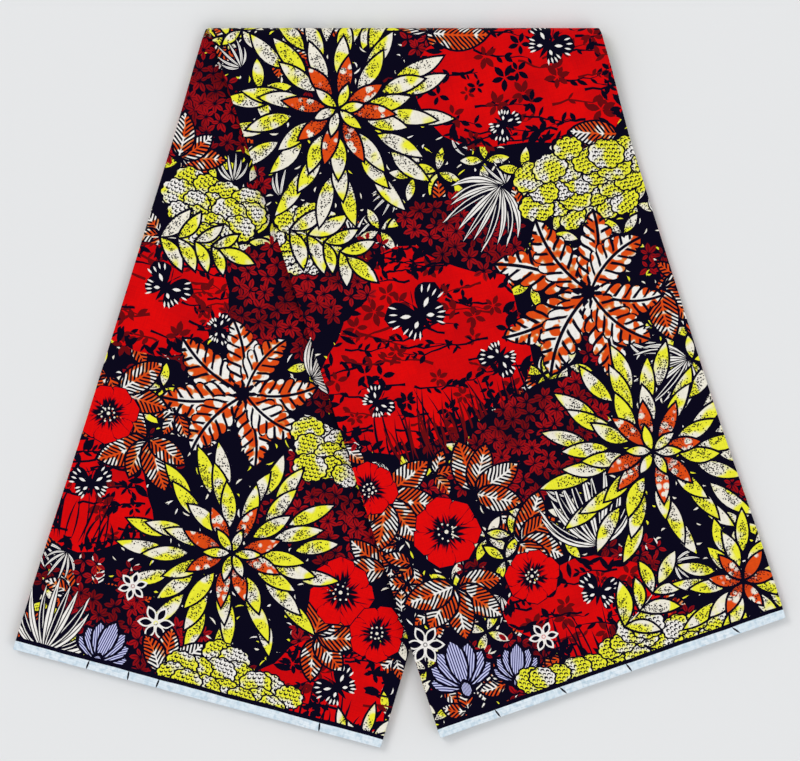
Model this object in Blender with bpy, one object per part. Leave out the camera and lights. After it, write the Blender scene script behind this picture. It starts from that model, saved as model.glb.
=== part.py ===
"""A long printed cotton cloth, folded up into a flat strip and then once across,
along a slanted line, so that its two legs fan out.

Metres, +Z up. The photograph's upward direction is +Y. The front leg runs to the
lower right and lies on the back leg, which runs to the lower left. The origin is the
middle of the footprint, on the surface that the cloth lies on.
"""

from math import cos, pi, radians, sin

import bmesh
import bpy
from mathutils import Vector

# Outline, as seen from above
FOLD_LENGTH = 0.3324  # the fold across the strip, along X
FRONT_LEG = dict(
    left_length=0.6351,
    left_slant=radians(18.19),
    right_length=0.5258,
    right_slant=radians(17.67),
    left_waist=0.0,
    right_waist=0.0039,
)
BACK_LEG = dict(
    left_length=0.5530,
    left_slant=radians(-17.35),
    right_length=0.6391,
    right_slant=radians(-16.81),
    left_waist=0.0019,
    right_waist=0.0,
)
# Where an edge starts to draw in, is drawn in the most, and runs out straight again,
# as shares of the leg's length
WAIST_START, WAIST_FULL, WAIST_EASES, WAIST_END = 0.0, 0.19, 0.58, 0.96
SELVEDGE = 0.0072  # the unprinted band at both ends of the strip

# Stack, from the outside of the crosswise fold inwards
WALL = 0.0010
CLEARANCE = 0.0003
HIDDEN = 0.0044
LEG_THICKNESS = 2 * WALL + 2 * CLEARANCE + HIDDEN
INNER_RADIUS = 0.0012
OUTER_RADIUS = INNER_RADIUS + LEG_THICKNESS
EDGE_ROUNDING = 0.0003

# How the front leg comes to rest on the back leg and then on the floor
CLOSING_LENGTH = 0.042  # from the fold to where the two legs touch
BRIDGE = 0.014  # past the back leg's edge, before the front leg starts to come down
DESCENT = 0.058

# Slow unevenness of the stack's thickness: height, and waves along X and Y
SWELL = 0.0005
SWELL_X = 0.19
SWELL_Y = 0.23
SWELL_FADE = 0.05

# Each folded pair of hidden plies, from the outermost to the innermost: how far it
# stops short of the outer ply's edges at both sides and at both selvedge ends
PAIR_COLUMNS = ("left", "right", "front_end", "back_end")
HIDDEN_PAIRS = (
    (0.0009, 0.0012, 0.0014, 0.0010),
    (0.0015, 0.0007, 0.0007, 0.0017),
    (0.0008, 0.0016, 0.0019, 0.0008),
    (0.0017, 0.0010, 0.0010, 0.0014),
    (0.0010, 0.0014, 0.0016, 0.0011),
    (0.0013, 0.0008, 0.0008, 0.0016),
)
FOLD_ROUNDING = 0.00035
FOLD_WANDER = 0.0003
WANDER_WAVES = 5

# Grid
ACROSS = 16
ALONG_FRONT = 15
ALONG_BACK = 11
ROUND_FOLD = 6

PRINT_SLOT, SELVEDGE_SLOT = 0, 1


def smooth_step(x):
    """0 up to x = 0, 1 from x = 1, and level at both ends."""
    x = min(max(x, 0.0), 1.0)
    return x * x * (3 - 2 * x)


def leg_corners(leg):
    """Start and end of the leg's left edge, then of its right edge: where the cloth
    lies flat again after its turn, and where it ends at the selvedge."""
    turn = OUTER_RADIUS * pi / 2
    corners = []
    for x, side in ((0.0, "left"), (FOLD_LENGTH, "right")):
        slant = leg[side + "_slant"]
        start = Vector((x + turn * sin(slant), -OUTER_RADIUS))
        length = leg[side + "_length"]
        end = Vector((x + length * sin(slant), -length * cos(slant)))
        corners.append((start, end))
    return corners


FRONT_CORNERS = leg_corners(FRONT_LEG)
BACK_CORNERS = leg_corners(BACK_LEG)
BACK_RIGHT_EDGE = (BACK_CORNERS[1][1] - BACK_CORNERS[1][0]).normalized()
FOOTPRINT_MIDDLE = Vector(
    (
        (BACK_CORNERS[0][1].x + FRONT_CORNERS[1][1].x) / 2,
        BACK_CORNERS[1][1].y / 2,
    )
)


def waist(t):
    """How much of its full waist a leg has at a share of its length."""
    draws_in = smooth_step((t - WAIST_START) / (WAIST_FULL - WAIST_START))
    runs_out = smooth_step((WAIST_END - t) / (WAIST_END - WAIST_EASES))
    return draws_in * runs_out


def on_leg(leg, corners, s, t):
    """The place s across the leg, from 0 at its left edge to 1 at its right edge, and
    t along it, from 0 at the fold's centre line to 1 at the selvedge."""
    (start_left, end_left), (start_right, end_right) = corners
    start = start_left.lerp(start_right, s)
    end = end_left.lerp(end_right, s)
    drawn_in = leg["left_waist"] * (1 - s) - leg["right_waist"] * s
    return start.lerp(end, t) + Vector((drawn_in * waist(t), 0.0))


def leg_size(corners):
    (start_left, end_left), (start_right, end_right) = corners
    length = ((end_left - start_left).length + (end_right - start_right).length) / 2
    return (end_right - end_left).length, length


def swell(place, phase):
    """A slow rise and fall of the stack, which dies away towards the fold."""
    fade = smooth_step((-OUTER_RADIUS - place.y) / SWELL_FADE)
    wave = sin(2 * pi * place.x / SWELL_X + phase) * cos(2 * pi * place.y / SWELL_Y)
    return SWELL * fade * (1 + wave)


def swell_share(height):
    """The plies at the bottom lie flat, and the hidden ones take up the swell."""
    return min(max((height - WALL - CLEARANCE) / HIDDEN, 0.0), 1.0)


def back_top(place):
    return LEG_THICKNESS + swell(place, 0.0)


def front_rise(place):
    """The height of the front leg's underside: it lies on the back leg, bridges a
    little past that leg's edge and comes down to the floor."""
    past_fold = -OUTER_RADIUS - place.y
    open_fold = 2 * INNER_RADIUS - CLEARANCE
    on_back_leg = (
        back_top(place)
        + CLEARANCE
        + open_fold * (1 - smooth_step(past_fold / CLOSING_LENGTH))
    )
    from_edge = place - BACK_CORNERS[1][0]
    beyond = from_edge.y * BACK_RIGHT_EDGE.x - from_edge.x * BACK_RIGHT_EDGE.y
    return on_back_leg * (1 - smooth_step((beyond - BRIDGE) / DESCENT))


def front_point(s, t, depth):
    place = on_leg(FRONT_LEG, FRONT_CORNERS, s, t)
    height = LEG_THICKNESS - depth
    raised = swell(place, pi) * swell_share(height)
    return place.x, place.y, front_rise(place) + height + raised


def back_point(s, t, depth):
    place = on_leg(BACK_LEG, BACK_CORNERS, s, t)
    return place.x, place.y, depth + swell(place, 0.0) * swell_share(depth)


def fold_point(s, turn, depth):
    """turn runs from 1, where the front leg starts, to -1, where the back leg does."""
    corners = FRONT_CORNERS if turn > 0 else BACK_CORNERS
    flat = corners[0][0].x + s * (corners[1][0].x - corners[0][0].x)
    apex = s * FOLD_LENGTH
    radius = OUTER_RADIUS - depth
    angle = turn * pi / 2
    return (
        apex + (flat - apex) * abs(turn),
        -OUTER_RADIUS + radius * cos(angle),
        OUTER_RADIUS + radius * sin(angle),
    )


FRONT_WIDTH, FRONT_LENGTH = leg_size(FRONT_CORNERS)
BACK_WIDTH, BACK_LENGTH = leg_size(BACK_CORNERS)


def stations():
    """Where the rows of points lie, from the front leg's selvedge round the fold to
    the back leg's: (shape, parameter). The first and the last pair of rows bound the
    selvedges."""
    front_print = 1 - SELVEDGE / FRONT_LENGTH
    back_print = 1 - SELVEDGE / BACK_LENGTH
    rows = [(front_point, 1.0)]
    rows += [
        (front_point, front_print * (1 - i / ALONG_FRONT)) for i in range(ALONG_FRONT)
    ]
    rows += [(fold_point, 1 - 2 * i / ROUND_FOLD) for i in range(ROUND_FOLD + 1)]
    rows += [
        (back_point, back_print * (i + 1) / ALONG_BACK) for i in range(ALONG_BACK)
    ]
    rows += [(back_point, 1.0)]
    return rows


STATIONS = stations()


def level_points(depth, insets):
    """One grid of points at a depth below the outermost face, drawn in at its edges.
    insets gives left, right, front_end and back_end for a place along the strip."""
    rows = []
    for i, (shape, parameter) in enumerate(STATIONS):
        inset = insets(i / (len(STATIONS) - 1))
        width = FRONT_WIDTH if i < len(STATIONS) / 2 else BACK_WIDTH
        low = inset["left"] / width
        high = 1 - inset["right"] / width
        if i == 0:
            parameter -= inset["front_end"] / FRONT_LENGTH
        if i == len(STATIONS) - 1:
            parameter -= inset["back_end"] / BACK_LENGTH
        row = []
        for j in range(ACROSS + 1):
            s = low + (high - low) * j / ACROSS
            x, y, z = shape(s, parameter, depth)
            row.append((x - FOOTPRINT_MIDDLE.x, y - FOOTPRINT_MIDDLE.y, z))
        rows.append(row)
    return rows


def material(name, colour, roughness):
    made = bpy.data.materials.new(name)
    made.use_nodes = True
    shader = made.node_tree.nodes["Principled BSDF"]
    shader.inputs["Base Color"].default_value = (*colour, 1.0)
    shader.inputs["Roughness"].default_value = roughness
    shader.inputs["Metallic"].default_value = 0.0
    made.diffuse_color = (*colour, 1.0)
    return made


def ply_solid(name, levels, materials):
    """A closed solid from grids of points, the first of them outermost: its two faces
    are the first and the last grid, and its rim joins the edges of them all."""
    grids = [level_points(depth, insets) for depth, insets in levels]
    mesh = bmesh.new()
    points = [
        [[mesh.verts.new(place) for place in row] for row in grid] for grid in grids
    ]
    last_row = len(STATIONS) - 1
    rim = [(0, j) for j in range(ACROSS)]
    rim += [(i, ACROSS) for i in range(last_row)]
    rim += [(last_row, j) for j in range(ACROSS, 0, -1)]
    rim += [(i, 0) for i in range(last_row, 0, -1)]
    on_rim = set(rim)
    for grid in points[1:-1]:
        for i, row in enumerate(grid):
            for j, inside in enumerate(row):
                if (i, j) not in on_rim:
                    mesh.verts.remove(inside)
    for i in range(last_row):
        band = SELVEDGE_SLOT if i in (0, last_row - 1) else PRINT_SLOT
        for j in range(ACROSS):
            square = ((i, j), (i, j + 1), (i + 1, j + 1), (i + 1, j))
            outer = mesh.faces.new([points[0][a][b] for a, b in square])
            inner = mesh.faces.new([points[-1][a][b] for a, b in reversed(square)])
            outer.material_index = inner.material_index = band
    for upper, lower in zip(points, points[1:]):
        for (i, j), (k, m) in zip(rim, rim[1:] + rim[:1]):
            mesh.faces.new((upper[k][m], upper[i][j], lower[i][j], lower[k][m]))
    bmesh.ops.recalc_face_normals(mesh, faces=mesh.faces)
    bmesh.ops.triangulate(mesh, faces=mesh.faces)
    data = bpy.data.meshes.new(name)
    mesh.to_mesh(data)
    mesh.free()
    for each in materials:
        data.materials.append(each)
    data.shade_smooth()
    data.set_sharp_from_angle(angle=radians(50))
    solid = bpy.data.objects.new(name, data)
    bpy.context.scene.collection.objects.link(solid)
    return solid


def same_all_round(inset):
    sides = dict.fromkeys(PAIR_COLUMNS, inset)
    return lambda along: sides


def single_ply(start):
    """The levels of one wall with rounded edges."""
    return (
        (start, same_all_round(EDGE_ROUNDING)),
        (start + EDGE_ROUNDING, same_all_round(0.0)),
        (start + WALL - EDGE_ROUNDING, same_all_round(0.0)),
        (start + WALL, same_all_round(EDGE_ROUNDING)),
    )


def pair_insets(number, drawn_in):
    """A folded pair's edges, which wander a little along the strip."""
    pair = dict(zip(PAIR_COLUMNS, HIDDEN_PAIRS[number]))

    def insets(along):
        wander = FOLD_WANDER * sin(2 * pi * WANDER_WAVES * along + 2.3 * number)
        made = {side: inset + drawn_in for side, inset in pair.items()}
        made["left"] += wander
        made["right"] -= wander
        return made

    return insets


def hidden_levels():
    """Each pair is a rounded bulge: drawn in where it meets its neighbours."""
    start = WALL + CLEARANCE
    pair = HIDDEN / len(HIDDEN_PAIRS)
    levels = []
    for number in range(len(HIDDEN_PAIRS)):
        top = start + number * pair
        levels.append((top, pair_insets(number, FOLD_ROUNDING)))
        levels.append((top + 0.3 * pair, pair_insets(number, 0.0)))
        levels.append((top + 0.7 * pair, pair_insets(number, 0.0)))
    last = len(HIDDEN_PAIRS) - 1
    levels.append((start + HIDDEN, pair_insets(last, FOLD_ROUNDING)))
    return levels


def main():
    for thing in list(bpy.data.objects):
        bpy.data.objects.remove(thing)
    red = material("printed_cotton_red", (0.62, 0.02, 0.02), 0.7)
    yellow = material("printed_cotton_yellow", (0.80, 0.72, 0.06), 0.7)
    edges = material("folded_edges", (0.16, 0.03, 0.05), 0.8)
    white = material("selvedge", (0.74, 0.82, 0.88), 0.75)
    ply_solid("outer_ply", single_ply(0.0), (red, white))
    ply_solid("hidden_plies", hidden_levels(), (edges, white))
    ply_solid("inner_ply", single_ply(LEG_THICKNESS - WALL), (yellow, white))


main()
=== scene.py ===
"""The looks of a long printed cotton cloth, folded up into a flat strip and then once
across, along a slanted line, so that its two legs fan out.

Metres, in the model's frame. Every print is drawn flat, in cloth coordinates: a runs
across the strip from its left edge, and b along it, 0 at the fold's left end, positive
on the front leg and negative on the back leg. Motif sizes are given in millimetres.
"""

from functools import partialmethod
from math import atan2, cos, hypot, pi, radians, sin
from random import Random

import bmesh
import bpy
import numpy as np
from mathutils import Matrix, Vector
from mathutils.geometry import delaunay_2d_cdt


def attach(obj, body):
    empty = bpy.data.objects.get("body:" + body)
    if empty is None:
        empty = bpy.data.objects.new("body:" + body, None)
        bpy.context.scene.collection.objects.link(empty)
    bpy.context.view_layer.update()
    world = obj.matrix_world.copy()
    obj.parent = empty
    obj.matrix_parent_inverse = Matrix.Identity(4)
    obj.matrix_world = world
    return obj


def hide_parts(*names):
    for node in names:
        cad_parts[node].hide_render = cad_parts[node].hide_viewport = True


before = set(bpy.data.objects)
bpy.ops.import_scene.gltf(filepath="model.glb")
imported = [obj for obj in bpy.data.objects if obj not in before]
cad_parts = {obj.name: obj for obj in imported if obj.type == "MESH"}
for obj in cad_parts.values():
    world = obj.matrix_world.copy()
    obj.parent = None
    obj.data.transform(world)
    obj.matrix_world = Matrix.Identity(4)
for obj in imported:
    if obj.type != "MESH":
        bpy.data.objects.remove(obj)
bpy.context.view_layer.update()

MM = 0.001

# The model's own sizes, as its solids have them
FOLD_LENGTH = 0.3324
FRONT_LEG = dict(
    left_length=0.6351,
    left_slant=radians(18.19),
    right_length=0.5258,
    right_slant=radians(17.67),
    left_waist=0.0,
    right_waist=0.0039,
)
BACK_LEG = dict(
    left_length=0.5530,
    left_slant=radians(-17.35),
    right_length=0.6391,
    right_slant=radians(-16.81),
    left_waist=0.0019,
    right_waist=0.0,
)
# shares of a leg's length between which its edge draws in, and eases out again
WAIST_START, WAIST_FULL, WAIST_EASES, WAIST_END = 0.0, 0.19, 0.58, 0.96
SELVEDGE = 0.0072
WALL = 0.0010
CLEARANCE = 0.0003
HIDDEN = 0.0044
LEG_THICKNESS = 2 * WALL + 2 * CLEARANCE + HIDDEN
INNER_RADIUS = 0.0012
OUTER_RADIUS = INNER_RADIUS + LEG_THICKNESS
CLOSING_LENGTH = 0.042  # past the fold, over which the front leg sinks onto the back one
BRIDGE = 0.014  # how far it stays up beyond the back leg's right edge
DESCENT = 0.058  # over which it then comes down
SWELL = 0.0005  # a leg's unevenness
SWELL_X = 0.19  # its waves' lengths
SWELL_Y = 0.23
SWELL_FADE = 0.05  # past the fold, over which it starts

# The strip on the unfolded plan: x along the fold, q away from it
STRIP_SLANT = radians(17.5)
QUARTER_TURN = OUTER_RADIUS * pi / 2
BEND_ROWS = 8
EDGE_STEPS = 18  # on each leg
GRID = 7.5 * MM

# One ply of cloth
PLY = 0.35 * MM
FOLD_RADIUS = 0.5 * MM
CUT_INSET = 0.2 * MM
UNDERLAP = 4 * MM
RIM_RINGS = 8
WIDTH = 317.0  # of the strip, in millimetres


def smooth_step(x):
    x = np.clip(x, 0.0, 1.0)
    return x * x * (3 - 2 * x)


def columns(*values):
    return np.stack(values, axis=-1)


def unit(vector):
    return vector / np.linalg.norm(vector)


def lengths(rows):
    return np.linalg.norm(rows, axis=1)


def units(rows):
    return rows / lengths(rows)[:, None]


def leg_corners(leg):
    """Where a leg's left and right edges start and end, seen from above."""
    corners = []
    for x, side in ((0.0, "left"), (FOLD_LENGTH, "right")):
        slant = leg[side + "_slant"]
        start = Vector((x + QUARTER_TURN * sin(slant), -OUTER_RADIUS))
        length = leg[side + "_length"]
        corners.append((start, Vector((x + length * sin(slant), -length * cos(slant)))))
    return corners


FRONT_CORNERS = leg_corners(FRONT_LEG)
BACK_CORNERS = leg_corners(BACK_LEG)
BACK_RIGHT_START = BACK_CORNERS[1][0]
BACK_RIGHT_EDGE = (BACK_CORNERS[1][1] - BACK_RIGHT_START).normalized()
MIDDLE_X = (BACK_CORNERS[0][1].x + FRONT_CORNERS[1][1].x) / 2
MIDDLE_Y = BACK_CORNERS[1][1].y / 2


def swell(x, y, phase):
    """How much a leg's slight unevenness thickens it."""
    fade = smooth_step((-OUTER_RADIUS - y) / SWELL_FADE)
    wave = np.sin(2 * pi * x / SWELL_X + phase) * np.cos(2 * pi * y / SWELL_Y)
    return SWELL * fade * (1 + wave)


def swell_share(height):
    """The share of the swelling below a height: the hidden plies take it up."""
    return np.clip((height - WALL - CLEARANCE) / HIDDEN, 0, 1)


def front_rise(x, y):
    """How high the front leg lies: on the back leg, and down beside it."""
    past_fold = -OUTER_RADIUS - y
    open_fold = 2 * INNER_RADIUS - CLEARANCE
    closing = 1 - smooth_step(past_fold / CLOSING_LENGTH)
    on_back_leg = LEG_THICKNESS + swell(x, y, 0.0) + CLEARANCE + open_fold * closing
    off_x, off_y = x - BACK_RIGHT_START.x, y - BACK_RIGHT_START.y
    beyond = off_y * BACK_RIGHT_EDGE.x - off_x * BACK_RIGHT_EDGE.y
    return on_back_leg * (1 - smooth_step((beyond - BRIDGE) / DESCENT))


def fold_up(x, q, depth):
    """Where the unfolded strip's places lie in the folded cloth, at a depth below the
    outermost face."""
    x, q, depth = np.broadcast_arrays(x, q, depth)
    y_flat = -OUTER_RADIUS - (np.abs(q) - QUARTER_TURN)
    height = LEG_THICKNESS - depth
    z_front = front_rise(x, y_flat) + height + swell(x, y_flat, pi) * swell_share(height)
    z_back = depth + swell(x, y_flat, 0.0) * swell_share(depth)
    angle = np.clip(q / QUARTER_TURN, -1, 1) * pi / 2
    radius = OUTER_RADIUS - depth
    bent = np.abs(q) <= QUARTER_TURN
    y = np.where(bent, -OUTER_RADIUS + radius * np.cos(angle), y_flat)
    z = np.where(q > 0, z_front, z_back)
    z = np.where(bent, OUTER_RADIUS + radius * np.sin(angle), z)
    return columns(x - MIDDLE_X, y - MIDDLE_Y, z)


def to_cloth(points, slant=STRIP_SLANT):
    """Places on the unfolded plan (x, q) in cloth coordinates (a, b)."""
    x, q = points[..., 0], points[..., 1]
    c, s = cos(slant), sin(slant)
    return columns(x * c - q * s, x * s + q * c)


def to_plan(points):
    return to_cloth(points, -STRIP_SLANT)


def end_on_plan(corner, front):
    """A leg's end, unfolded round the crosswise fold."""
    reach = QUARTER_TURN + (-OUTER_RADIUS - corner.y)
    return (corner.x, reach if front else -reach)


def waist(t):
    """How far in a leg's edge is drawn, along its length, from 0 to 1."""
    draws_in = smooth_step((t - WAIST_START) / (WAIST_FULL - WAIST_START))
    return draws_in * smooth_step((WAIST_END - t) / (WAIST_END - WAIST_EASES))


def leg_edge(leg, corners, side, front):
    """A leg's left or right edge on the plan, from the fold to the selvedge."""
    start, end = (np.array(end_on_plan(corner, front)) for corner in corners[side])
    drawn_in = -leg["right_waist"] if side else leg["left_waist"]
    return [
        start + (end - start) * t + np.array([drawn_in * waist(t), 0.0])
        for t in np.linspace(0, 1, EDGE_STEPS + 1)
    ]


def strip_outline():
    """The strip's left edge and right edge on the unfolded plan, each from the front
    leg's selvedge over the fold to the back leg's."""
    edges = []
    for side in (0, 1):
        front = leg_edge(FRONT_LEG, FRONT_CORNERS, side, True)
        back = leg_edge(BACK_LEG, BACK_CORNERS, side, False)
        edges.append(np.array(front[::-1] + [np.array([side * FOLD_LENGTH, 0.0])] + back))
    return edges


LEFT_EDGE, RIGHT_EDGE = strip_outline()


# Printed shapes

# inks that look the same wherever they lie on a shape
PLAIN_INKS = ("navy", "red", "dark_red", "white", "pale", "yellow_dash")
ROW_STEP = 0.87  # of the pitch, between staggered rows
OUTER_SEED, INNER_SEED, FOLDS_SEED = 11, 23, 5


class Print:
    """The shapes printed on one ply. Each later one lies over the earlier ones."""

    def __init__(self, seed):
        self.dice = Random(seed)
        self.shapes = []
        self.mirrored = False

    def add(self, points, ink, origin=(0, 0), angle=0.0, length=10.0, half=5.0, bow=0.0):
        """points in millimetres. u runs from 0 to 1 over the length, from origin and at
        the angle, v from -1 to 1 across it, and bow is how far the middle line bends."""
        points, origin = np.array(points, dtype=float), np.array(origin, dtype=float)
        if self.mirrored:
            points[:, 0] = WIDTH - points[:, 0]
            origin[0] = WIDTH - origin[0]
            angle, bow = pi - angle, -bow
        facts = (*origin * MM, cos(angle), sin(angle), length * MM, half * MM, bow / half)
        facts = (*facts, self.dice.random())
        self.shapes.append(dict(points=points * MM, ink=ink, facts=facts))


def two_sided(u, middle, wide, base, angle):
    """An outline out along one side of a middle line and back along the other."""
    left = columns(u, middle + wide)
    right = columns(u, middle - wide)[1:-1][::-1]
    return turned(np.concatenate([left, right]), base, angle)


def leaf_points(base, angle, length, half, bow, grow=0.0, blunt=1.0, lean=1.0, steps=8):
    """A pointed leaf. grow widens it for a line round it, which reaches past its ends
    too. blunt below 1 rounds the ends, and lean moves the widest place."""
    over = 1.7 * grow / length
    t = np.linspace(0, 1, steps + 1)
    u = -over + t * (1 + 2 * over)
    wide = (half + grow) * (4 * t**lean * (1 - t**lean)) ** blunt
    return two_sided(u * length, bow * 4 * u * (1 - u), wide, base, angle)


def turned(points, base, angle):
    """The points, turned by the angle and moved to the base."""
    c, s = cos(angle), sin(angle)
    x, y = points[:, 0], points[:, 1]
    return columns(base[0] + x * c - y * s, base[1] + x * s + y * c)


def away(centre, angle, distance):
    """The place that lies in this direction, so far from the centre."""
    return (centre[0] + distance * cos(angle), centre[1] + distance * sin(angle))


def around(count, start=0.0, shift=0):
    """The directions of so many things, evenly round a place. shift turns them by a
    share of the step between them."""
    return [start + 2 * pi * (k + shift) / count for k in range(count)]


def leaf(sheet, base, angle, length, half, ink, bow=0.0, edge=2.0, **form):
    """One leaf with a dark line round it."""
    if edge:
        sheet.add(leaf_points(base, angle, length, half, bow, grow=edge, **form), "navy")
    points = leaf_points(base, angle, length, half, bow, **form)
    sheet.add(points, ink, base, angle, length, half, bow)


def stroke(sheet, base, angle, length, half, ink, bow=0.0, steps=4, **form):
    """A small leaf with no line round it."""
    leaf(sheet, base, angle, length, half, ink, bow, edge=0, steps=steps, **form)


def disc(sheet, centre, radius, ink, corners=6):
    points = [away(centre, angle, radius) for angle in around(corners)]
    sheet.add(points, ink, centre, 0.0, radius, radius)


def line(sheet, points, wide, ink):
    """A drawn line through the points, with its width at each of them."""
    points = np.array(points, dtype=float)
    run = units(np.gradient(points, axis=0))
    normal = columns(-run[:, 1], run[:, 0]) * np.reshape(wide, (-1, 1)) / 2
    sheet.add(np.concatenate([points + normal, (points - normal)[::-1]]), ink)


# how often each wave goes round an uneven outline, and its share
WAVES = ((2, 0.6), (3, 0.5), (5, 0.35))


def blob(centre, across, along, dice, turn=0.0, corners=22, wander=0.16):
    """A rounded, uneven outline."""
    waves = [(times, share, dice.uniform(0, 2 * pi)) for times, share in WAVES]
    points = []
    for angle in around(corners):
        swing = sum(share * sin(times * angle + phase) for times, share, phase in waves)
        reach = 1 + wander * swing
        points.append((across * reach * cos(angle), along * reach * sin(angle)))
    return turned(np.array(points), centre, turn)


def within(points, outline):
    """Which of the points lie inside the outline."""
    (x0, y0), (x1, y1) = outline.T[:, None], np.roll(outline, -1, axis=0).T[:, None]
    x, y = points[:, :1], points[:, 1:]
    rise = np.where(y1 == y0, 1.0, y1 - y0)
    crosses = ((y0 > y) != (y1 > y)) & (x < (x1 - x0) * (y - y0) / rise + x0)
    return crosses.sum(axis=1) % 2 == 1


def scattered(outline, pitch, dice, jitter=0.42):
    """Places about a pitch apart inside an outline, in staggered rows."""
    low, high = outline.min(axis=0), outline.max(axis=0)
    rows = int((high[1] - low[1]) / (pitch * ROW_STEP)) + 1
    each_row = int((high[0] - low[0]) / pitch) + 1
    places = []
    for i in range(rows):
        for j in range(each_row):
            x = low[0] + (j + 0.5 * (i % 2) + dice.uniform(-jitter, jitter)) * pitch
            y = low[1] + (i + dice.uniform(-jitter, jitter)) * pitch * ROW_STEP
            places.append((x, y))
    places = np.array(places)
    return [tuple(place) for place in places[within(places, outline)]]


def fringe(sheet, outline, ink, long, pitch=5.0):
    """Small leaves all along an outline, which make its edge ragged."""
    dice = sheet.dice
    for (x0, y0), (x1, y1) in zip(outline, np.roll(outline, -1, axis=0)):
        reach = hypot(x1 - x0, y1 - y0)
        heading = atan2(y1 - y0, x1 - x0)
        for k in range(max(1, int(reach / pitch))):
            share = (k + dice.random()) * pitch / reach
            at = (x0 + (x1 - x0) * share, y0 + (y1 - y0) * share)
            tilt = heading + pi / 2 + dice.uniform(-1.1, 1.1)
            size = long * dice.uniform(0.6, 1.3)
            stroke(sheet, at, tilt, size, size * dice.uniform(0.12, 0.24), ink)


# Motifs


def rosette(sheet, centre, radius, rings, turn):
    """Rings of pointed petals, the outermost first: (ink, count, inner end, outer end
    and half width as shares of the radius)."""
    dice = sheet.dice
    for number, (ink, count, inner, outer, half) in enumerate(rings):
        for spoke in around(count, turn, 0.5 * (number % 2)):
            angle = spoke + dice.uniform(-0.1, 0.1)
            reach = outer + dice.uniform(-0.12, 0.12) * (outer - inner)
            tilt = angle + dice.uniform(-0.22, 0.22)
            length = radius * (reach - inner)
            bow = dice.uniform(-0.05, 0.05) * length
            base = away(centre, angle, radius * inner)
            leaf(sheet, base, tilt, length, radius * half, ink, bow, lean=0.92)


GREAT_ROSETTE = (
    ("yellow_leaf", 16, 0.62, 1.08, 0.064),
    ("yellow_leaf", 13, 0.43, 0.87, 0.066),
    ("yellow_leaf", 11, 0.26, 0.67, 0.066),
    ("orange_leaf", 8, 0.11, 0.49, 0.062),
    ("yellow_leaf", 6, 0.03, 0.25, 0.040),
)
SMALL_ROSETTE = (
    ("yellow_leaf", 12, 0.46, 1.08, 0.090),
    ("yellow_leaf", 9, 0.21, 0.77, 0.094),
    ("orange_leaf", 6, 0.05, 0.49, 0.084),
)


def spray(sheet, base, angle, length, count, size, curl):
    """A curved stem with leaves on both sides and one at its end."""
    dice = sheet.dice
    stem = [base]
    steps = 2 * count
    for k in range(steps):
        stem.append(away(stem[-1], angle + curl * k / steps, length / steps))
    line(sheet, stem, np.linspace(0.9, 0.4, len(stem)), "pale")
    slim = 0.17
    for k in range(count):
        bent = angle + curl * (2 * k + 1) / steps
        for side in (-1, 1):
            long = size * (1.0 - 0.35 * k / count) * dice.uniform(0.85, 1.1)
            tilt = bent + side * dice.uniform(0.75, 1.0)
            at = away(stem[2 * k + 1], tilt, 1.0)
            leaf(sheet, at, tilt, long, long * slim, "yellow_leaf", -side * 0.06 * long)
    leaf(sheet, stem[-1], angle + curl, size * 0.9, size * 0.9 * slim, "yellow_leaf")


LOBES = 7.0
LOBE_START = 0.04
LOBE_PHASES = (0.0, 0.14, 0.36, 0.62, 0.86)


def lobed_leaf(sheet, base, angle, length, half, bow):
    """A long leaf with rounded lobes that lean towards its tip."""
    phases = np.array([k + phase for k in range(int(LOBES) + 1) for phase in LOBE_PHASES])
    t = (phases - 0.5) / LOBES + LOBE_START
    bulge = np.sin(pi * (phases % 1)) ** 0.55
    kept = (t > 0) & (t < 1)
    t = np.concatenate([[0.0], t[kept], [1.0]])
    bulge = np.concatenate([[0.0], bulge[kept], [0.0]])
    envelope = (4 * t**0.8 * (1 - t**0.8)) ** 0.8
    for grow, ink in ((1.6, "navy"), (0.0, "orange_vein")):
        over = 1.5 * grow / length
        wide = envelope * (half * (0.72 + 0.32 * bulge) + grow)
        u = -over + t * (1 + 2 * over) + 0.03 * bulge * envelope
        points = two_sided(u * length, bow * 4 * u * (1 - u), wide, base, angle)
        sheet.add(points, ink, base, angle, length, half, bow)


def lobed_star(sheet, centre, leaves, bow):
    """Lobed leaves round one place: (angle, length, half width)."""
    for k, (angle, long, half) in enumerate(leaves):
        lobed_leaf(sheet, away(centre, angle, 5), angle, long, half, (-1) ** k * bow)


def blossom(sheet, centre, radius, turn):
    """Seven rounded petals round a dark eye with pale dots."""
    dice = sheet.dice
    t = np.linspace(0, 1, 8)
    for spoke in around(7, turn):
        angle = spoke + dice.uniform(-0.05, 0.05)
        reach = radius * dice.uniform(0.93, 1.05)
        half = reach * 0.5
        for grow, ink in ((0.8, "navy"), (0.0, "blossom")):
            wide = (half + grow) * np.sin(pi * t**1.7) ** 0.62 * (0.25 + 0.75 * t)
            points = two_sided(t * (reach + grow), 0.0, wide, centre, angle)
            sheet.add(points, ink, centre, angle, reach, half)
    disc(sheet, centre, radius * 0.13, "navy", 10)
    for angle in around(9, turn):
        disc(sheet, away(centre, angle, radius * dice.uniform(0.17, 0.27)), 0.9, "pale")
    disc(sheet, centre, radius * 0.06, "pale")


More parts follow.
